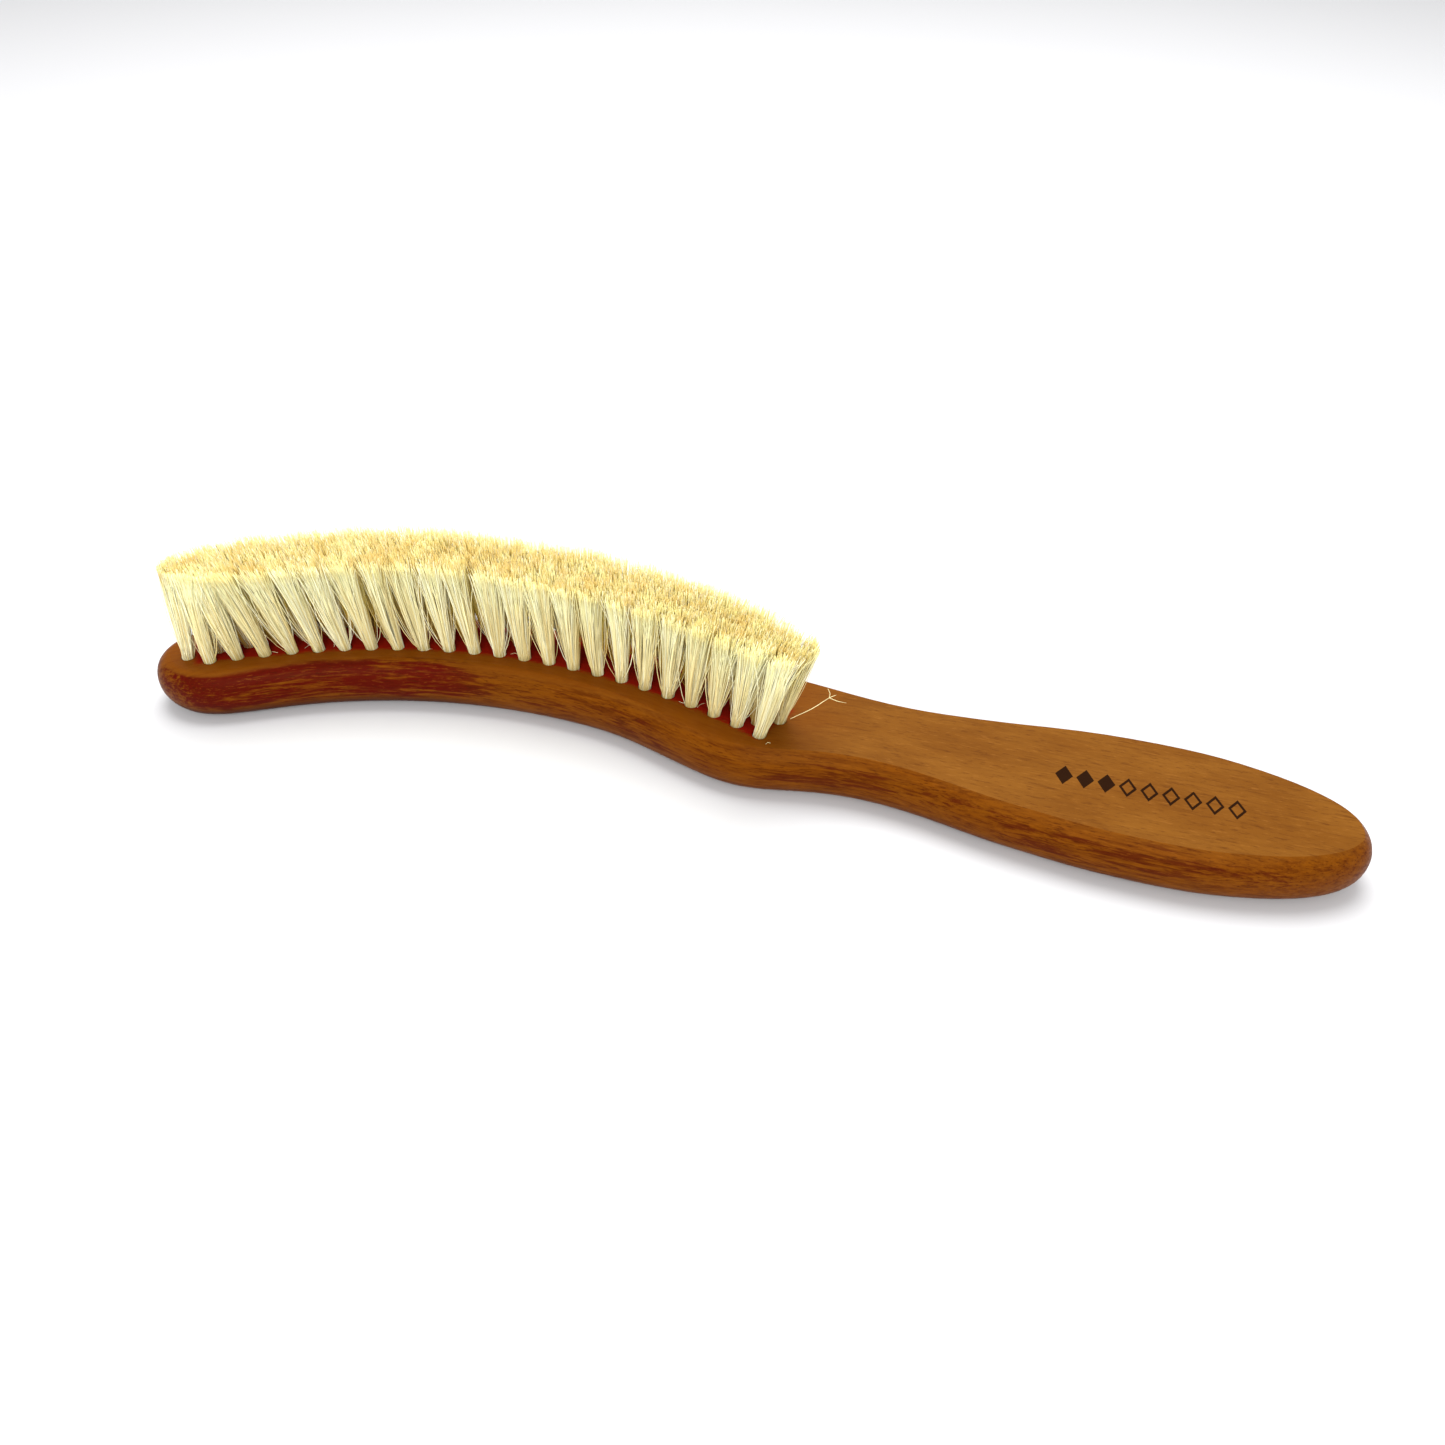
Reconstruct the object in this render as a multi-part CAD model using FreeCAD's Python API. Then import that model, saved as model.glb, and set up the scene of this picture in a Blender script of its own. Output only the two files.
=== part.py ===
"""Curved hat brush: one-piece pear-wood body, three rows of bristle tufts, one flat wire anchor per tuft.

Millimetres. The brush lies on its flat back: +Z is up out of the bristle side, +X runs along the handle to
its butt end, the origin is under the middle of the outline, on the surface the back rests on.
"""
import FreeCAD, Part
import os
from math import asin, cos, pi, radians, sin, tan

V = FreeCAD.Vector

# ---- driving dimensions ---------------------------------------------------------------------------------
THICKNESS = 13.65          # wood, back to bristle face
TRIM_HEIGHT = 25.0         # bristle ends above the bristle face
OUTLINE_MIDDLE = (0.2, -6.4)   # middle of the widest outline, measured from the handle axis and head arc

WIDEST_DROP = 5.95         # widest line of the side, below the bristle face
CREASE_INSET = 2.85        # handle: edge of the flat face, in from the widest line
SOFT_INSET = 4.2           # head: the same edge, rounded over instead of creased
BACK_INSET = 5.4           # edge of the flat back, in from the widest line
SOFT_FROM, SOFT_TO = -5.0, -60.0   # the crease fades into the rounded edge between these X stations

HEAD_ARC = V(-46.85, -136.55, 0)   # common centre of the head's two edges and of the three tuft rows
NEAR_RADIUS, FAR_RADIUS = 130.1, 155.4

ROW_RADII = (138.9, 144.3, 149.2)
ROW_STAGGER = (0.0, -0.5, 0.0)     # in tuft pitches
ROW_OUTWARD_LEAN = (-2.5, -1.5, 0.5)   # degrees
COLUMNS = 23
FIRST_ANGLE, PITCH_ANGLE = 126.04, 2.7213
GATHER_TUFTS = 4.0         # over this many tufts at each end the rows draw together
ROW_GATHER = (0.7, -1.3, -2.4)         # change of row radius at the very ends
HEAD_SLIDE = -0.25         # the middle row's first tuft sits further out by this, in tuft pitches
END_LEAN, END_LEAN_FROM = 17.0, 14.5   # lean to the handle, degrees at the last column, and where it starts
HEAD_LEAN, HEAD_LEAN_TO = -13.0, 13.0  # lean the other way over the first columns, which ends here
HEAD_LEAN_FULL = 2.0       # from the row's end the lean grows up to this column, then fades

HOLE_RADIUS, HOLE_DEPTH = 1.70, 8.0
ROOT_RADIUS, TIP_RADIUS, END_TIP_RADIUS = 1.65, 2.75, 2.15
ANCHOR_LENGTH, ANCHOR_THICK, ANCHOR_HEIGHT = 4.2, 0.35, 1.6
ANCHOR_LIFT = 0.6          # anchor's lower edge above the bottom of its hole

# handle half widths at X stations, mirrored about the handle axis
PADDLE = ((142.4, 7.35), (134.9, 12.75), (122.6, 17.0), (110.2, 19.2), (98.0, 19.7), (85.8, 19.3),
          (73.7, 18.0), (63.6, 16.55))
BUTT = (145.4, 0.0)
FAR_NECK = ((53.8, 15.5), (43.0, 14.8), (30.3, 15.4), (19.0, 16.8), (0.2, 18.6), (-22.0, 19.6))
HEAD_END = ((-132.7, -6.6), (-140.2, -11.3), (-144.2, -16.6), (-144.9, -23.0), (-142.3, -28.6),
            (-137.2, -31.6), (-131.2, -32.5))
NEAR_HEEL = ((-25.2, -8.6), (-16.2, -11.3), (-7.4, -14.1), (1.3, -16.2), (9.3, -16.3), (16.9, -14.9),
             (24.4, -13.3), (33.2, -12.4), (42.7, -12.8), (53.5, -14.5))


def on_arc(radius, angle):
    """A point on a circle about the head's arc centre, angle in degrees from +X."""
    return HEAD_ARC + V(radius * cos(radians(angle)), radius * sin(radians(angle)), 0)


def outline():
    """The widest outline as one closed smooth curve, starting at the butt and running along the far side."""
    points = [V(*BUTT, 0)] + [V(x, y, 0) for x, y in PADDLE + FAR_NECK]
    points += [on_arc(FAR_RADIUS, a) for a in (90, 97, 104, 111, 118)]
    points += [V(x, y, 0) for x, y in HEAD_END]
    points += [on_arc(NEAR_RADIUS, a) for a in (123, 117, 110, 103, 96, 89.5)]
    points += [V(x, y, 0) for x, y in NEAR_HEEL]
    points += [V(x, -y, 0) for x, y in reversed(PADDLE)]
    curve = Part.BSplineCurve()
    curve.interpolate(Points=points, PeriodicFlag=True)
    return curve


def softness(x):
    """0 where the side meets the bristle face in a crease, 1 where that edge is rounded over."""
    t = min(1.0, max(0.0, (x - SOFT_FROM) / (SOFT_TO - SOFT_FROM)))
    return t * t * (3 - 2 * t)


def upper_side(part, soft):
    """Inset and drop of the side above its widest line; part 0 is the widest line, 1 the face's edge."""
    radius = (WIDEST_DROP ** 2 + CREASE_INSET ** 2) / (2 * CREASE_INSET)
    crisp = part * asin(WIDEST_DROP / radius)
    full = part * pi / 2
    inset = (1 - soft) * radius * (1 - cos(crisp)) + soft * SOFT_INSET * (1 - cos(full))
    drop = WIDEST_DROP - (1 - soft) * radius * sin(crisp) - soft * WIDEST_DROP * sin(full)
    return inset, drop


def lower_side(part):
    """Inset and drop of the side below its widest line; part 1 is the edge of the flat back."""
    angle = part * pi / 2
    return BACK_INSET * (1 - cos(angle)), WIDEST_DROP + (THICKNESS - WIDEST_DROP) * sin(angle)


def wood_blank():
    """The body before drilling: one smooth skin through nine offsets of the outline, flat above and below."""
    curve = outline()
    stations = 120
    first, last = curve.FirstParameter, curve.LastParameter
    length = curve.length()
    rim = []
    for i in range(stations):
        at = curve.parameterAtDistance(length * i / stations, first) if i else first
        tangent = curve.tangent(at)[0]
        rim.append((curve.value(at), V(tangent.y, -tangent.x, 0)))
    wires = []
    for level in range(9):
        points = []
        for point, outward in rim:
            if level <= 4:
                inset, drop = upper_side(1 - level / 4, softness(point.x))
            else:
                inset, drop = lower_side((level - 4) / 4)
            points.append(point - outward * inset + V(0, 0, THICKNESS - drop))
        section = Part.BSplineCurve()
        section.interpolate(Points=points, PeriodicFlag=True,
                            Parameters=[i / stations for i in range(stations + 1)])
        wires.append(Part.Wire(section.toShape()))
    return Part.makeLoft(wires, True, False)


def lean_along(index):
    """Lean along the row, degrees: towards the handle at the last tufts, away from it at the first."""
    if index > END_LEAN_FROM:
        return END_LEAN * ((index - END_LEAN_FROM) / (COLUMNS - 1 - END_LEAN_FROM)) ** 1.3
    grown = min(1.0, (index + HEAD_LEAN_FULL) / (2 * HEAD_LEAN_FULL))
    return HEAD_LEAN * max(0.0, 1 - index / HEAD_LEAN_TO) * grown


def tuft_places():
    """For each column, its three tufts as ((foot, axis, along-row direction), tip radius)."""
    columns = []
    for column in range(COLUMNS):
        gather = max(0.0, 1 - min(column, COLUMNS - 1 - column) / GATHER_TUFTS) ** 2
        tufts = []
        for row, outward_lean in enumerate(ROW_OUTWARD_LEAN):
            index = column + ROW_STAGGER[row]
            if row == 1:
                index += HEAD_SLIDE * max(0.0, 1 - column / GATHER_TUFTS) ** 2
            angle = FIRST_ANGLE - PITCH_ANGLE * index
            foot = on_arc(ROW_RADII[row] + ROW_GATHER[row] * gather, angle) + V(0, 0, THICKNESS)
            outward = V(cos(radians(angle)), sin(radians(angle)), 0)
            along = V(outward.y, -outward.x, 0)
            axis = V(0, 0, 1) + along * tan(radians(lean_along(index))) + outward * tan(radians(outward_lean))
            tip_radius = TIP_RADIUS + (END_TIP_RADIUS - TIP_RADIUS) * gather
            tufts.append(((foot, axis.normalize(), along), tip_radius))
        columns.append(tufts)
    return columns


def anchor(foot, axis, along):
    """The flat wire driven across the bottom of one hole; its ends bite into the wood."""
    flat = along - axis * along.dot(axis)
    flat.normalize()
    blank = Part.makeBox(ANCHOR_LENGTH, ANCHOR_THICK, ANCHOR_HEIGHT,
                         V(-ANCHOR_LENGTH / 2, -ANCHOR_THICK / 2, 0))
    turn = FreeCAD.Rotation(flat, axis.cross(flat), axis, "ZXY")
    blank.Placement = FreeCAD.Placement(foot - axis * (HOLE_DEPTH - ANCHOR_LIFT), turn)
    return blank


def hole(foot, axis):
    """One blind hole, with a little over-length so that it opens cleanly through the bristle face."""
    return Part.makeCylinder(HOLE_RADIUS, HOLE_DEPTH + 2, foot - axis * HOLE_DEPTH, axis)


def tuft(place, tip_radius, held):
    """One tuft: a straight root in its hole, flaring to ends trimmed level, folded round its anchor."""
    foot, axis = place[:2]
    rise = TRIM_HEIGHT / axis.z
    rings = [Part.Circle(foot - axis * HOLE_DEPTH, axis, ROOT_RADIUS),
             Part.Circle(foot, axis, ROOT_RADIUS),
             Part.Circle(foot + axis * rise, V(0, 0, 1), tip_radius)]
    bundle = Part.makeLoft([Part.Wire(ring.toShape()) for ring in rings], True, True)
    return bundle.cut(held)


os.makedirs("parts", exist_ok=True)
to_frame = V(-OUTLINE_MIDDLE[0], -OUTLINE_MIDDLE[1], 0)


def write(shape, node):
    shape.translate(to_frame)
    shape.exportStep("parts/%s.step" % node)


cutters = []
for number, places in enumerate(tuft_places(), 1):
    anchors = [anchor(*place) for place, tip_radius in places]
    tufts = [tuft(place, tip_radius, held) for (place, tip_radius), held in zip(places, anchors)]
    cutters += [hole(*place[:2]) for place, tip_radius in places] + [held.copy() for held in anchors]
    write(Part.makeCompound(tufts), "tuft_column_%02d" % number)
    write(Part.makeCompound(anchors), "anchor_column_%02d" % number)
write(wood_blank().cut(cutters), "wood_body")
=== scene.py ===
"""Curved hat brush on a pale floor: oiled pear-wood body with three rows of natural bristle tufts.

The wood and the anchors keep their CAD shapes and get materials here. Each CAD tuft is replaced by separate
hairs. Lengths are worked out in millimetres in the CAD frame, and scaled to metres when a mesh is made.
"""
from math import cos, exp, pi, radians, sin, tan
from types import SimpleNamespace

import bpy
import numpy as np
from mathutils import Matrix, Vector


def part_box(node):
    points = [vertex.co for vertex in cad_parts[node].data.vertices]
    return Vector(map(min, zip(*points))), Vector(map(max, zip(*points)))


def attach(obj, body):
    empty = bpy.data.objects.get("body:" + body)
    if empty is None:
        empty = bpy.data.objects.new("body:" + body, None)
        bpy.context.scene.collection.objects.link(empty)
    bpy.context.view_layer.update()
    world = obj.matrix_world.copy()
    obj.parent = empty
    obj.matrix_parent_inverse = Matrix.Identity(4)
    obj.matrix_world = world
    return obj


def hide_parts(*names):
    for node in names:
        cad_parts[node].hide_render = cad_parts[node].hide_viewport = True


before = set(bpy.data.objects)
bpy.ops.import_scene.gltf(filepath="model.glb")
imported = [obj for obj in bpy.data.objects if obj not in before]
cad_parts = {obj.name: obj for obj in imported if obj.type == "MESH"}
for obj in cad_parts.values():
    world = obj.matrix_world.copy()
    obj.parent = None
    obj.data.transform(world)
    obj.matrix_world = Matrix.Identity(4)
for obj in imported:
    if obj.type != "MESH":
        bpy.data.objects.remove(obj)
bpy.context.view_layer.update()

MM = 0.001
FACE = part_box("wood_body")[1].z / MM       # bristle face above the floor
TRIM = 25.0                                # bristle ends above the bristle face
ARC_X, ARC_Y = -47.05, -130.15             # common centre of the head's edges and of the three rows
ARC_MIDDLE = 143.0                         # radius of the line down the middle of the head
HANDLE_Y = 6.4                             # the handle's axis

COLUMNS = 23
ROW_RADII = (138.9, 144.3, 149.2)
ROW_GATHER = (0.7, -1.3, -2.4)             # change of those radii at the very ends
GATHER_TUFTS = 4                           # over this many tufts at each end
ROW_OUTWARD_LEAN = (-2.5, -1.5, 0.5)       # degrees
MIDDLE_STAGGER = 0.5                       # the middle row is this many pitches nearer the head's end
HEAD_SLIDE = 0.25                          # and its first tuft this many more
FIRST_ANGLE, PITCH_ANGLE = 126.04, 2.7213  # degrees round the arc
END_LEAN, END_LEAN_FROM = 17.0, 14.5       # lean to the handle, degrees at the last column, and where it starts
HEAD_LEAN, HEAD_LEAN_TO = 13.0, 13.0       # lean the other way over the first columns, which ends here
HEAD_LEAN_FULL = 2.0                       # from the row's end the lean grows up to this column, then fades

rng = np.random.default_rng(20)


# ---- camera ---------------------------------------------------------------------------------------------
def make_camera():
    """The photograph's view: turned and raised about a point on the bristle face, with a slight roll."""
    azimuth, elevation, roll, distance = radians(17.5), radians(38.81), radians(0.446), 312.35
    target = Vector((-0.2, -0.85, FACE))
    back = Vector((sin(azimuth) * cos(elevation), -cos(azimuth) * cos(elevation), sin(elevation)))
    right = Vector((cos(azimuth), sin(azimuth), 0))
    up = back.cross(right)
    side = right * cos(roll) + up * sin(roll)
    top = up * cos(roll) - right * sin(roll)
    data = bpy.data.cameras.new("Camera")
    data.lens, data.sensor_width, data.sensor_fit = 33.0, 36.0, "HORIZONTAL"
    data.clip_start, data.clip_end = 0.01, 20
    camera = bpy.data.objects.new("Camera", data)
    turn = Matrix((side, top, back)).transposed().to_4x4()
    camera.matrix_world = Matrix.Translation((target + back * distance) * MM) @ turn
    bpy.context.collection.objects.link(camera)
    bpy.context.scene.camera = camera


make_camera()


# ---- node helpers ---------------------------------------------------------------------------------------
class Net:
    """A material's node tree with short calls for the nodes used here. Sockets and numbers mix freely."""

    def __init__(self, name):
        self.material = bpy.data.materials.new(name)
        self.material.use_nodes = True
        self.tree = self.material.node_tree
        self.tree.nodes.clear()
        self.shader = self.tree.nodes.new("ShaderNodeBsdfPrincipled")
        out = self.tree.nodes.new("ShaderNodeOutputMaterial")
        self.tree.links.new(self.shader.outputs[0], out.inputs["Surface"])

    def put(self, socket, value):
        if isinstance(value, bpy.types.NodeSocket):
            self.tree.links.new(value, socket)
        else:
            socket.default_value = value

    def node(self, kind, inputs=(), **settings):
        n = self.tree.nodes.new(kind)
        for key, value in settings.items():
            setattr(n, key, value)
        for key, value in dict(inputs).items():
            self.put(n.inputs[key], value)
        return n

    def place(self):
        """The point on the surface, in metres in the CAD frame."""
        return self.node("ShaderNodeTexCoord").outputs["Object"]

    def math(self, operation, *values):
        n = self.node("ShaderNodeMath", operation=operation)
        for socket, value in zip(n.inputs, values):
            self.put(socket, value)
        return n.outputs[0]

    def times(self, value, *others):
        for other in others:
            value = self.math("MULTIPLY", value, other)
        return value

    def plus(self, value, *others):
        for other in others:
            value = self.math("ADD", value, other)
        return value

    def minus(self, a, b):
        return self.math("SUBTRACT", a, b)

    def scaled_add(self, a, scale, b):
        """a * scale + b"""
        return self.math("MULTIPLY_ADD", a, scale, b)

    def step(self, value, low, high, to=(0.0, 1.0)):
        """Smooth step from to[0] at low to to[1] at high."""
        ends = {"Value": value, "From Min": low, "From Max": high, "To Min": to[0], "To Max": to[1]}
        return self.node("ShaderNodeMapRange", ends, interpolation_type="SMOOTHSTEP").outputs[0]

    def mix(self, factor, a, b):
        """Colour a where factor is 0, b where it is 1."""
        n = self.node("ShaderNodeMix", data_type="RGBA")
        for index, value in zip((0, 6, 7), (factor, a, b)):
            self.put(n.inputs[index], value)
        return n.outputs[2]

    def blend(self, factor, a, b):
        """Number a where factor is 0, b where it is 1."""
        n = self.node("ShaderNodeMix", data_type="FLOAT")
        for index, value in zip((0, 2, 3), (factor, a, b)):
            self.put(n.inputs[index], value)
        return n.outputs[0]

    def vector(self, x, y, z):
        return self.node("ShaderNodeCombineXYZ", {"X": x, "Y": y, "Z": z}).outputs[0]

    def split(self, vector):
        return self.node("ShaderNodeSeparateXYZ", {"Vector": vector}).outputs

    def scale(self, vector, factors):
        n = self.node("ShaderNodeVectorMath", operation="MULTIPLY")
        self.put(n.inputs[0], vector)
        n.inputs[1].default_value = factors
        return n.outputs[0]

    def noise(self, vector, size, detail, rough, seed, warp=0.0):
        """Noise whose features measure about size = (x, y, z), in the vector's own units."""
        settings = {"Vector": self.scale(vector, [1 / s for s in size]), "W": seed, "Scale": 1.0,
                    "Detail": detail, "Roughness": rough, "Distortion": warp}
        return self.node("ShaderNodeTexNoise", settings, noise_dimensions="4D").outputs[0]


def srgb(*colour):
    """A display colour, 0 to 255, as the linear colour a shader takes."""
    return tuple(((c / 255 + 0.055) / 1.055) ** 2.4 if c > 10 else c / 255 / 12.92 for c in colour) + (1.0,)


# ---- wood -----------------------------------------------------------------------------------------------
def wood_grain(net):
    """Where a point of the wood is, in mm and radians, and the noises that follow the grain there."""
    x, y, z = net.split(net.scale(net.place(), (1 / MM,) * 3))
    dx, dy = net.minus(x, ARC_X), net.minus(y, ARC_Y)
    radius = net.math("SQRT", net.plus(net.times(dx, dx), net.times(dy, dy)))
    angle = net.math("ARCTAN2", dy, dx)

    # along and across the brush: round the head's arc, then straight down the handle
    straight = net.step(x, -15, 30)
    round_arc = net.scaled_add(net.minus(pi / 2, angle), ARC_MIDDLE, ARC_X)
    along = net.blend(straight, round_arc, x)
    across = net.blend(straight, net.minus(radius, ARC_MIDDLE), net.minus(y, HANDLE_Y))
    grain = net.vector(along, across, z)
    return SimpleNamespace(
        x=x, y=y, z=z, radius=radius, angle=angle,
        upward=net.split(net.node("ShaderNodeNewGeometry").outputs["Normal"])[2],
        head=net.step(x, -56, -76),
        cloud=net.noise(grain, (24, 9, 7), 3, 0.55, 1.3),
        bands=net.noise(grain, (34, 3.0, 1.8), 4, 0.6, 4.1, 0.25),
        streak=net.noise(grain, (9, 0.8, 0.7), 3, 0.65, 7.7, 0.2),
        fleck=net.noise(grain, (2.4, 0.34, 0.30), 2, 0.6, 2.2),
        speck=net.noise(grain, (0.5, 0.35, 0.35), 2, 0.5, 9.2))


def face_colour(net, wood):
    """The flat face: even and warm, with faint bands and short dark and pale flecks."""
    face = net.mix(net.step(wood.cloud, 0.35, 0.68), srgb(106, 62, 14), srgb(118, 73, 21))
    face = net.mix(net.step(wood.bands, 0.42, 0.70, (0, 0.35)), face, srgb(95, 54, 12))
    face = net.mix(net.step(wood.streak, 0.50, 0.70, (0, 0.55)), face, srgb(93, 52, 11))
    face = net.mix(net.step(wood.fleck, 0.56, 0.68, (0, 0.60)), face, srgb(80, 41, 8))
    return net.mix(net.step(wood.fleck, 0.42, 0.30, (0, 0.50)), face, srgb(133, 85, 32))


def stain_amount(net, wood):
    """How red the side is: streaks along the handle, which run together into one long patch on the head."""
    gather = net.plus(net.scaled_add(wood.streak, 0.80, wood.cloud), net.times(wood.bands, 0.55))
    gather = net.scaled_add(net.times(wood.head, net.step(wood.x, -138, -126)), 0.23, gather)
    # less of it towards the butt, along the upper edge and low down
    butt = net.step(wood.x, 108, 136, (0.0, -0.16))
    handle_edge = net.step(wood.z, FACE - 1.0, FACE - 3.5, (-0.14, 0.02))
    head_edge = net.step(wood.z, FACE, FACE - 0.5, (-0.08, 0.0))
    gather = net.plus(gather, net.blend(wood.head, net.plus(butt, handle_edge), head_edge))
    gather = net.plus(gather, net.step(wood.z, 6.5, 2.5, (0.0, -0.32)))
    return net.blend(wood.head, net.step(gather, 1.17, 1.36, (0, 0.82)), net.step(gather, 1.15, 1.37))


def side_colour(net, wood):
    """The rounded sides: deeper than the face, with red-brown stain, and painted shade low down on the head."""
    side = net.mix(net.step(wood.streak, 0.34, 0.66), srgb(110, 57, 4), srgb(84, 37, 2))
    side = net.mix(net.step(wood.bands, 0.38, 0.62, (0, 0.4)), side, srgb(116, 65, 8))
    head_stain = net.mix(wood.bands, srgb(90, 7, 4), srgb(60, 3, 2))
    stain = net.mix(wood.head, srgb(72, 18, 3), head_stain)
    side = net.mix(net.times(stain_amount(net, wood), 0.94), side, stain)
    side = net.mix(net.step(wood.fleck, 0.56, 0.66, (0, 0.55)), side, srgb(57, 14, 2))
    side = net.mix(net.step(wood.fleck, 0.42, 0.32, (0, 0.30)), side, srgb(135, 76, 19))
    # painted shade: the head's side darkened low down, towards the floor
    return net.mix(net.times(wood.head, net.step(wood.z, 5.5, 2.0, (0, 0.8))), side, srgb(66, 24, 4))


def face_mask(net, wood):
    """1 on the flat face, 0 on the sides."""
    rim = net.step(net.scaled_add(wood.cloud, 7.0, wood.radius), 136.2, 138.6)
    rim = net.math("MINIMUM", rim, net.step(wood.z, FACE - 1.0, FACE - 0.15))
    return net.blend(wood.head, net.step(wood.upward, 0.60, 0.93), rim)


def stain_and_shade_mask(net, wood):
    """1 on the dark red strip of the face that the tufts stand on, with a ragged edge: partly stain, partly
    painted shade among the tufts.
    """
    edge = net.scaled_add(wood.speck, 1.6, wood.radius)
    ragged = net.scaled_add(net.minus(wood.fleck, 0.5), 3.0, edge)
    narrowed = net.plus(ragged, net.step(wood.angle, radians(119), radians(127), (0.0, -1.1)))
    near, far = net.step(narrowed, 137.9, 139.3), net.step(edge, 152.4, 153.6, (1, 0))
    heel = net.step(wood.angle, radians(65.5), radians(66.7))
    head = net.step(wood.angle, radians(127.0), radians(127.9), (1, 0))
    return net.times(near, far, heel, head, net.step(wood.z, FACE - 1.0, FACE - 0.4))


def ornament_mask(net, wood):
    """1 on a plain burnt-in ornament on the handle: a row of three solid lozenges, then six in outline."""
    middle, half_height = 5.3, 3.3
    first, pitch, solid, count = 76.3, 4.68, 3, 9
    soft = 0.1
    open_from, last = first + solid * pitch, first + count * pitch
    cell = net.math("FRACT", net.math("DIVIDE", net.minus(wood.x, first), pitch))
    cell = net.times(net.math("ABSOLUTE", net.minus(cell, 0.5)), pitch / 2)
    off = net.math("DIVIDE", net.math("ABSOLUTE", net.minus(wood.y, middle)), half_height)
    edge = net.scaled_add(wood.speck, 0.10, net.plus(cell, off))
    hollow = net.times(net.step(edge, 0.66, 0.72, (1, 0)), net.step(wood.x, open_from - soft, open_from))
    return net.times(net.step(edge, 1.02, 1.08, (1, 0)), net.minus(1.0, hollow),
                     net.step(wood.x, first - soft, first), net.step(wood.x, last, last + soft, (1, 0)),
                     net.step(wood.z, FACE - 0.4, FACE - 0.2))


def wood_material():
    net = Net("oiled_pear_wood")
    wood = wood_grain(net)
    face, bed, mark = face_mask(net, wood), stain_and_shade_mask(net, wood), ornament_mask(net, wood)

    colour = net.mix(face, side_colour(net, wood), face_colour(net, wood))
    beside_tufts = net.times(net.step(wood.x, 34, 2), face, 0.8)
    colour = net.mix(beside_tufts, colour, net.mix(wood.streak, srgb(122, 66, 4), srgb(97, 42, 2)))
    # dark red under the tufts: partly stain, partly painted shade among the tufts
    colour = net.mix(net.times(bed, 0.94), colour, net.mix(wood.streak, srgb(146, 18, 9), srgb(98, 8, 4)))
    colour = net.mix(net.times(mark, 0.95), colour, srgb(22, 7, 4))

    rough = net.blend(net.step(wood.streak, 0.3, 0.7), 0.34, 0.46)
    rough = net.blend(net.math("MAXIMUM", mark, bed), rough, 0.8)
    height = net.scaled_add(wood.streak, 0.5, net.times(wood.fleck, 0.5))
    height = net.scaled_add(wood.cloud, 4.0, net.scaled_add(mark, -0.8, height))
    bump = net.node("ShaderNodeBump", {"Height": height, "Strength": 0.25, "Distance": 0.00012})
    net.put(net.shader.inputs["Base Color"], colour)
    net.put(net.shader.inputs["Roughness"], rough)
    net.put(net.shader.inputs["Normal"], bump.outputs[0])
    net.shader.inputs["Specular IOR Level"].default_value = 0.045
    net.shader.inputs["Specular Tint"].default_value = (1.0, 0.62, 0.34, 1)
    return net.material


def wire_material():
    net = Net("flat_steel_wire")
    grain = net.noise(net.place(), (0.0012, 0.0002, 0.0002), 2, 0.5, 3.0)
    net.put(net.shader.inputs["Base Color"],
            net.mix(net.step(grain, 0.35, 0.65), (0.50, 0.49, 0.47, 1), (0.63, 0.62, 0.60, 1)))
    net.put(net.shader.inputs["Roughness"], net.step(grain, 0.3, 0.7, (0.28, 0.45)))
    net.shader.inputs["Metallic"].default_value = 1.0
    return net.material


# ---- bristle material -----------------------------------------------------------------------------------
def bristle_material():
    """Reads each hair's "strand" colour: how far up the hair, its tone, dark or not, how deep in the brush.
    Depth and height paint shade: hair deep in the brush and near its foot is darker and golder.
    """
    net = Net("natural_bristle")
    strand = net.node("ShaderNodeAttribute", attribute_name="strand")
    up, tone, dark = net.node("ShaderNodeSeparateColor", {"Color": strand.outputs["Color"]}).outputs
    deep = strand.outputs["Alpha"]
    mottle = net.noise(net.place(), (0.0040, 0.0040, 0.009), 4, 0.65, 5.0)

    def ramp(*stops):
        n = net.node("ShaderNodeValToRGB", {"Fac": up})
        elements = n.color_ramp.elements
        while len(elements) < len(stops):
            elements.new(0.5)
        for element, (position, shade) in zip(elements, stops):
            element.position, element.color = position, srgb(*shade)
        return n.outputs[0]

    # both ramps darken towards the foot, painted shade low in the tufts; the inner ramp is painted shade among
    # the hairs, deeper and golder
    outer = ramp((0.0, (206, 190, 126)), (0.08, (237, 221, 160)), (0.5, (253, 242, 184)),
                 (0.85, (255, 252, 200)), (1.0, (244, 234, 164)))
    shaded_inner = ramp((0.0, (150, 96, 14)), (0.25, (212, 170, 54)), (0.6, (238, 214, 108)),
                 (0.9, (233, 216, 140)), (1.0, (225, 208, 138)))
    # painted shade: hair deep in the brush takes the darker, golder inner ramp
    colour = net.mix(deep, outer, shaded_inner)
    colour = net.mix(net.step(tone, 0.5, 1.0, (0, 0.8)), colour, srgb(255, 253, 222))
    colour = net.mix(net.step(tone, 0.45, 0.0, (0, 0.42)), colour, srgb(212, 178, 94))

    # gold and pale clouds over the trimmed ends
    ends = net.step(up, 0.3, 1.0)
    gold = net.times(net.step(mottle, 0.45, 0.62, (0.0, 0.62)), ends, deep)
    colour = net.mix(gold, colour, srgb(225, 194, 112))
    pale = net.times(net.step(mottle, 0.50, 0.36, (0.0, 0.6)), ends, deep)
    colour = net.mix(pale, colour, srgb(240, 233, 162))
    colour = net.mix(dark, colour, srgb(70, 42, 20))
    net.put(net.shader.inputs["Base Color"], colour)
    net.put(net.shader.inputs["Roughness"], net.step(mottle, 0.3, 0.7, (0.38, 0.52)))
    net.shader.inputs["Specular IOR Level"].default_value = 0.15
    return net.material


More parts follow.
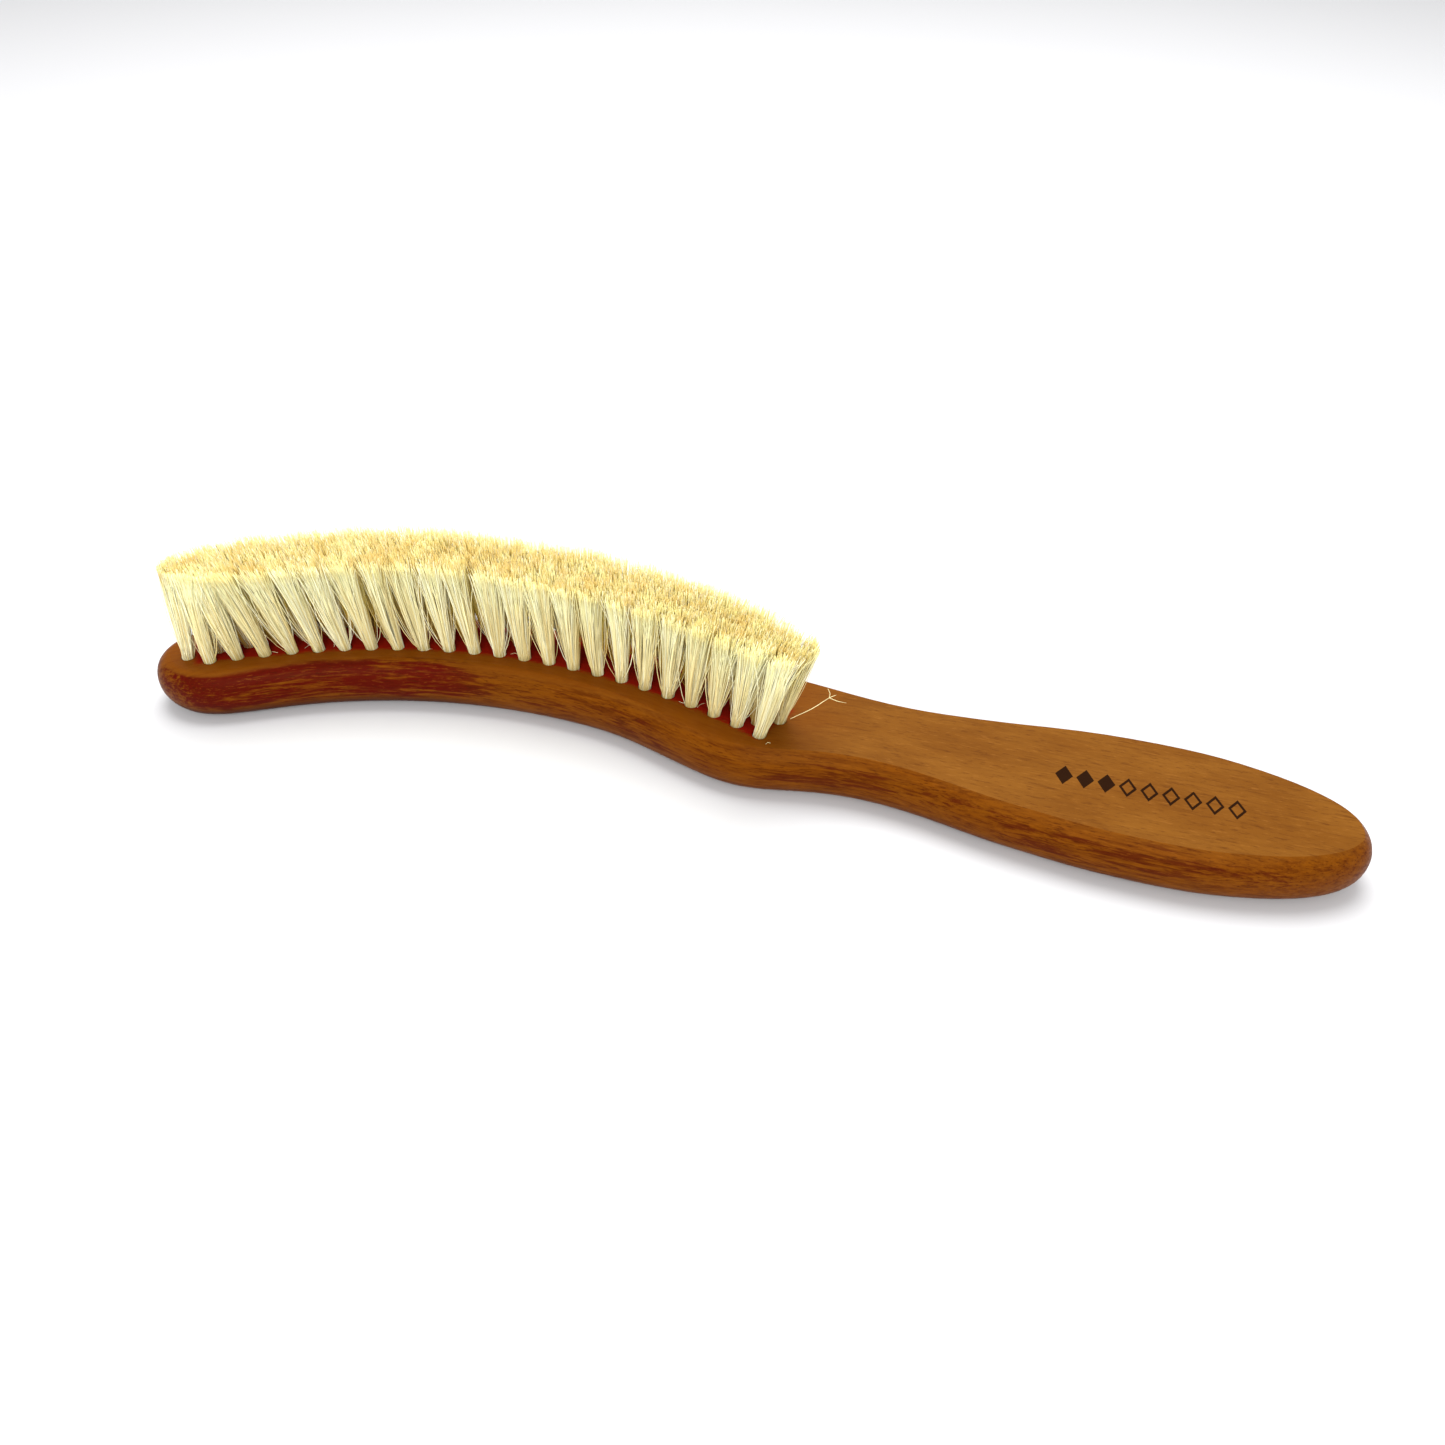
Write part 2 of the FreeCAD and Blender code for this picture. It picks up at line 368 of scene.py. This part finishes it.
# ---- hair meshes ----------------------------------------------------------------------------------------
STATIONS = np.array([0.0, 0.12, 0.28, 0.46, 0.64, 0.80, 0.92, 1.0])   # along a hair, from the face to its end
ROOTS = np.array([6.3, 0.8])                                          # two more below the face, in mm
TAPER = np.array([0.8, 1.0, 1.0, 1.0, 1.0, 0.98, 0.95, 0.90, 0.80, 0.66])


def unit(v):
    return v / np.linalg.norm(v, axis=-1, keepdims=True)


def smooth(value, low, high):
    t = np.clip((value - low) / (high - low), 0, 1)
    return t * t * (3 - 2 * t)


def tubes(name, lines, radii, shade, material, sides=3):
    """One mesh of closed tapered tubes: lines (count, points, 3), radii (count, points), shade (.., 4)."""
    count, points, _ = lines.shape
    ahead = unit(np.gradient(lines, axis=1))
    turn = rng.uniform(0, 2 * pi, count)
    guide = np.stack([np.cos(turn), np.sin(turn), np.full(count, 0.1)], 1)[:, None, :]
    one = unit(guide - ahead * (guide * ahead).sum(-1, keepdims=True))
    two = np.cross(ahead, one)
    spin = 2 * pi * np.arange(sides) / sides
    ring = np.cos(spin)[:, None] * one[:, :, None, :] + np.sin(spin)[:, None] * two[:, :, None, :]
    vertices = (lines[:, :, None, :] + ring * radii[:, :, None, None]).reshape(-1, 3) * MM

    base = (np.arange(count) * points * sides)[:, None, None]
    level = base + (np.arange(points - 1) * sides)[None, :, None]
    i = np.arange(sides)[None, None, :]
    j = (i + 1) % sides
    quads = np.stack([level + i, level + j, level + sides + j, level + sides + i], -1).reshape(-1, 4)
    start = base[:, 0] + np.arange(sides)[::-1]
    end = base[:, 0] + (points - 1) * sides + np.arange(sides)
    mesh = bpy.data.meshes.new(name)
    mesh.from_pydata(vertices.tolist(), [], quads.tolist() + start.tolist() + end.tolist())
    mesh.polygons.foreach_set("use_smooth", [True] * len(quads) + [False] * (2 * count))
    colours = np.broadcast_to(shade[:, :, None, :], (count, points, sides, 4))
    attribute = mesh.attributes.new("strand", "FLOAT_COLOR", "POINT")
    attribute.data.foreach_set("color", np.ascontiguousarray(colours).ravel())
    mesh.materials.append(material)
    mesh.update()
    piece = bpy.data.objects.new(name, mesh)
    bpy.context.collection.objects.link(piece)
    return piece


# ---- tufts ----------------------------------------------------------------------------------------------
HAIRS, CLUMPS = 300, 14        # in one tuft
GOLDEN_ANGLE = 2.39996         # radians, from one hair to the next
FOOT_RADIUS = 1.5              # of the hairs' lines, inside the hole
ENDS_RADIUS, ENDS_HALF = 143.9, 9.0    # the band that the trimmed ends fill, and half its width
DOME, DOME_AT, DOME_REACH = 1.2, 7.5, 4.5   # the trimmed ends' rise, its column and its reach in columns

# by row, from the near one; the near row stands in clear tufts and the others run together
ENDS_ALONG, ENDS_ACROSS = (3.05, 4.1, 4.4), 3.5    # half size of the patch that one tuft's ends fill
ROW_RISE = (-0.2, 0.0, 0.5)
STRAY_SHARE = (0.08, 0.14, 0.14)
FAN_POWER = (1.35, 0.8, 0.8)   # a low power fans a tuft out early
HEIGHT_SCATTER = (0.5, 0.28, 0.28)


def polar(points):
    x, y = points[..., 0] - ARC_X, points[..., 1] - ARC_Y
    return np.hypot(x, y), np.degrees(np.arctan2(y, x))


def gather_tips(tips):
    """Draws the ends in to the trimmed outline, which is oval at both ends of the head."""
    for _ in range(9):
        radius, angle = polar(tips)
        off = (radius - ENDS_RADIUS) / ENDS_HALF
        head = angle > 128.6 - np.where(off < 0, 7.0, 3.0) * off ** 2
        heel = angle < 61.5 + 4.0 * off ** 2
        wide = np.abs(off) > 1
        goal = radians(124.0) * head + radians(66.0) * heel + np.radians(angle) * ~(head | heel)
        aim = np.stack([ARC_X + ENDS_RADIUS * np.cos(goal), ARC_Y + ENDS_RADIUS * np.sin(goal)], -1)
        outside = (head | heel | wide)[:, None]
        tips = tips + outside * (aim - tips) * rng.uniform(0.02, 0.12, (len(tips), 1))
    return tips


def depth_in_brush(lines, t):
    """0 for hair on the outside of the brush, 1 for hair deep among the rest, t being 0 to 1 up the hair. The
    bristle colour paints shade by it.
    """
    radius, angle = polar(lines)
    index = (FIRST_ANGLE - angle) / PITCH_ANGLE
    gather = np.clip(1 - np.minimum(index, COLUMNS - 1 - index) / GATHER_TUFTS, 0, 1) ** 2
    near, far = 137.2 + (2.0 + 3.0 * t) * gather - 2.3 * t, 150.9 - 2.4 * gather + 1.4 * t
    head, heel = 127.9 + 1.6 * t, 65.3 - 3.8 * t
    depth = np.minimum(np.minimum(radius - near, far - radius),
                       np.minimum(np.radians(head - angle), np.radians(angle - heel)) * radius)
    return smooth(depth, 1.3 - 0.5 * t ** 6, 3.6 - 1.6 * t ** 6)


def scatter(member, own, shared, *shape):
    """Random offsets: some for each hair, and some that all hairs of a clump share."""
    return rng.normal(0, own, (len(member), *shape)) + rng.normal(0, shared, (CLUMPS, *shape))[member]


def tuft(foot, along, outward, slope_along, slope_outward, rise, row):
    """One tuft's hairs as (lines, radii, shade)."""
    axis = np.array([0, 0, 1.0]) + along * slope_along + outward * slope_outward
    order = np.arange(HAIRS) + 0.5
    reach = np.clip(np.sqrt(order / HAIRS) + rng.normal(0, 0.05, HAIRS), 0, 1)
    spin = order * GOLDEN_ANGLE + rng.uniform(0, 2 * pi)
    u, v = reach * np.cos(spin), reach * np.sin(spin)
    centres = rng.uniform(-0.85, 0.85, (CLUMPS, 2))
    member = np.argmin((u[:, None] - centres[:, 0]) ** 2 + (v[:, None] - centres[:, 1]) ** 2, 1)

    # feet in a disc, ends in a rounded rectangle; columns are along the row and outward
    feet = np.stack([u, v], 1) * FOOT_RADIUS
    twist = rng.normal(0, 0.25)
    square = (np.abs(np.cos(spin + twist)) ** 4 + np.abs(np.sin(spin + twist)) ** 4) ** -0.25
    ends = np.stack([np.cos(spin + twist), np.sin(spin + twist)], 1) * (reach * square)[:, None]
    ends = ends * (ENDS_ALONG[row], ENDS_ACROSS) + scatter(member, 0.55, 0.40, 2)
    stray = rng.random(HAIRS) < STRAY_SHARE[row]
    ends[stray] += rng.normal(0, 1, (stray.sum(), 2)) * (3.0, 1.6)
    directions = np.stack([along[:2], outward[:2]])
    top = foot[:2] + TRIM * axis[:2]
    ends = (gather_tips(top + ends @ directions) - top) @ directions.T

    # each hair fans out from foot to end, bows a little, and leans towards the middle of its clump
    bend = scatter(member, 0.22, 0.24, 2)
    bend[stray] += rng.normal(0, 1, (stray.sum(), 2)) * (1.1, 0.5)
    t = STATIONS[None, :, None]
    spread = t ** np.where(stray, 0.75, FAN_POWER[row])[:, None, None]
    offset = feet[:, None, :] * (1 - spread) + ends[:, None, :] * spread
    middle = np.zeros((CLUMPS, *offset.shape[1:]))
    for m in np.unique(member):
        middle[m] = offset[member == m].mean(0)
    offset += np.sin(pi * t) * (bend[:, None, :] + 0.24 * (middle[member] - offset))

    height = rise + scatter(member, HEIGHT_SCATTER[row], 0.15)
    short, tall = rng.random(HAIRS) < 0.03, rng.random(HAIRS) < 0.05
    height[short] -= rng.uniform(0.4, 2.5, short.sum())
    height[tall] += rng.uniform(0.2, 1.4, tall.sum())
    lines = foot + axis * (t * height[:, None, None]) + offset[..., :1] * along + offset[..., 1:] * outward

    # the roots, down the hole to the anchor
    across = feet[:, :1] * along + feet[:, 1:] * outward
    roots = foot - axis * ROOTS[None, :, None] + across[:, None, :] * 0.96
    lines = np.concatenate([roots, lines], 1)

    radii = (0.076 + 0.055 * rng.random(HAIRS) ** 3)[:, None] * TAPER
    up = np.tile(np.concatenate([0 * ROOTS, STATIONS]), (HAIRS, 1))
    tone = 0.5 + rng.normal(0, 0.05) + scatter(member, 0.32, 0.10)
    dark = rng.random(HAIRS) < 0.0006
    # the last channel, depth in the brush, sets the painted shade in the bristle colour
    shade = np.stack([up, np.clip(tone, 0, 1)[:, None] + 0 * up, dark[:, None] + 0 * up,
                      depth_in_brush(lines, up)], -1)
    return lines, radii, shade


def lean_at(index):
    """Slope of a tuft along its row: towards the head's end at first, towards the handle at last."""
    if index > END_LEAN_FROM:
        grown = (index - END_LEAN_FROM) / (COLUMNS - 1 - END_LEAN_FROM)
        return tan(radians(END_LEAN * grown ** 1.3))
    grown = min(1.0, (index + HEAD_LEAN_FULL) / (2 * HEAD_LEAN_FULL))
    return -tan(radians(HEAD_LEAN * max(0.0, 1 - index / HEAD_LEAN_TO) * grown))


def loose(points, thick):
    """One hair through a few points, as (lines, radii, shade) with the same stations as a tuft's hairs."""
    path = np.array(points, float)
    at = np.linspace(0, len(path) - 1, len(TAPER))
    line = np.stack([np.interp(at, np.arange(len(path)), path[:, k]) for k in range(3)], 1)
    line[1:-1] = 0.25 * line[:-2] + 0.5 * line[1:-1] + 0.25 * line[2:]
    shade = np.tile([0.6, rng.uniform(0.45, 0.9), 0.0, 0.1], (1, len(TAPER), 1))
    return line[None], thick * TAPER[None, :], shade


def fallen(foot, along, outward):
    """A short curled hair end lying on the wood beside a tuft's foot."""
    start = foot - outward * rng.uniform(-0.8, 1.4) + along * rng.uniform(1.8, 4.6)
    way = along * rng.uniform(-1, 1) + outward * rng.uniform(-0.9, 0.9)
    way = way / np.linalg.norm(way) * rng.uniform(1.0, 2.6)
    curl = np.cross([0, 0, 1.0], way) * rng.uniform(-0.3, 0.3)
    lift = np.array([0, 0, 0.10])
    middle = start + way * 0.5 + curl + lift * rng.uniform(2, 8)
    return loose([start + lift, middle, start + way + lift * 2], 0.05)


def forked():
    """The long stray hair at the heel: it leaves the last tuft's foot and splits into three ends."""
    split = (22.2, 12.2, 16.8)
    stem = [(14.7, 5.0, 14.0), (15.5, 5.5, 14.4), (17.3, 6.9, 15.0), (19.5, 8.6, 15.8), (20.9, 10.5, 16.4)]
    ends = [[(22.9, 12.8, 17.0), (23.6, 13.3, 17.2)],
            [(24.4, 12.3, 16.2), (26.2, 13.6, 15.2)],
            [(22.2, 13.3, 17.2), (21.3, 14.4, 17.8)]]
    return [loose(stem + [split], 0.09)] + [loose([split] + end, 0.065) for end in ends]


def make_bristles(material):
    """One piece for each column of three tufts."""
    for column in range(COLUMNS):
        gather = max(0.0, 1 - min(column, COLUMNS - 1 - column) / GATHER_TUFTS) ** 2
        made = []
        for row in range(3):
            index = column
            if row == 1:
                index -= MIDDLE_STAGGER + HEAD_SLIDE * max(0.0, 1 - column / GATHER_TUFTS) ** 2
            angle = radians(FIRST_ANGLE - PITCH_ANGLE * index)
            outward = np.array([cos(angle), sin(angle), 0])
            along = np.array([sin(angle), -cos(angle), 0])
            foot = np.array([ARC_X, ARC_Y, FACE]) + outward * (ROW_RADII[row] + ROW_GATHER[row] * gather)
            foot += along * rng.normal(0, 0.06) + outward * rng.normal(0, 0.06)
            slope = lean_at(index) + rng.normal(0, 0.016)
            outward_slope = tan(radians(ROW_OUTWARD_LEAN[row])) + rng.normal(0, 0.012)
            dome = DOME * exp(-((index - DOME_AT) / DOME_REACH) ** 2)
            rise = TRIM + dome + ROW_RISE[row] + rng.normal(0, 0.15)
            made.append(tuft(foot, along, outward, slope, outward_slope, rise, row))
            if row == 0 and rng.random() < 0.5:
                made.append(fallen(foot, along, outward))
        if column == COLUMNS - 1:
            made += forked()
        lines, radii, shade = (np.concatenate(part) for part in zip(*made))
        piece = tubes("bristles_%02d" % (column + 1), lines, radii, shade, material)
        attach(piece, "root")
        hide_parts("tuft_column_%02d" % (column + 1))


wood, wire, bristle = wood_material(), wire_material(), bristle_material()
for name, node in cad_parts.items():
    if name == "wood_body" or name.startswith("anchor"):
        for slot in node.material_slots:
            slot.material = wood if name == "wood_body" else wire
make_bristles(bristle)


# ---- floor and light ------------------------------------------------------------------------------------
def make_floor():
    mesh = bpy.data.meshes.new("floor")
    mesh.from_pydata([(-4, -4, 0), (4, -4, 0), (4, 4, 0), (-4, 4, 0)], [], [(0, 1, 2, 3)])
    net = Net("pale_floor")
    tone = net.noise(net.place(), (0.3, 0.3, 0.3), 1, 0.4, 1.0)
    net.put(net.shader.inputs["Base Color"],
            net.mix(tone, (0.60, 0.60, 0.61, 1), (0.61, 0.61, 0.62, 1)))
    net.shader.inputs["Roughness"].default_value = 0.9
    net.shader.inputs["Specular IOR Level"].default_value = 0.1
    mesh.materials.append(net.material)
    floor = bpy.data.objects.new("floor", mesh)
    bpy.context.collection.objects.link(floor)


def make_area(name, place, size, power):
    """A round area light aimed at the middle of the brush."""
    data = bpy.data.lights.new(name, "AREA")
    data.shape, data.size, data.energy = "DISK", size, power
    light = bpy.data.objects.new(name, data)
    light.location = place
    light.rotation_euler = (-Vector(place)).to_track_quat("-Z", "Y").to_euler()
    bpy.context.collection.objects.link(light)


def make_world(strength):
    world = bpy.data.worlds.new("studio")
    world.use_nodes = True
    background = world.node_tree.nodes["Background"].inputs
    background["Color"].default_value = (1, 1, 1, 1)
    background["Strength"].default_value = strength
    bpy.context.scene.world = world


make_floor()
make_area("key", (-0.1, 0.33, 1.0), size=0.9, power=14)
make_area("fill", (0.3, -1.2, 0.8), size=1.2, power=17)
make_world(0.75)
bpy.context.scene.view_settings.view_transform = "Standard"
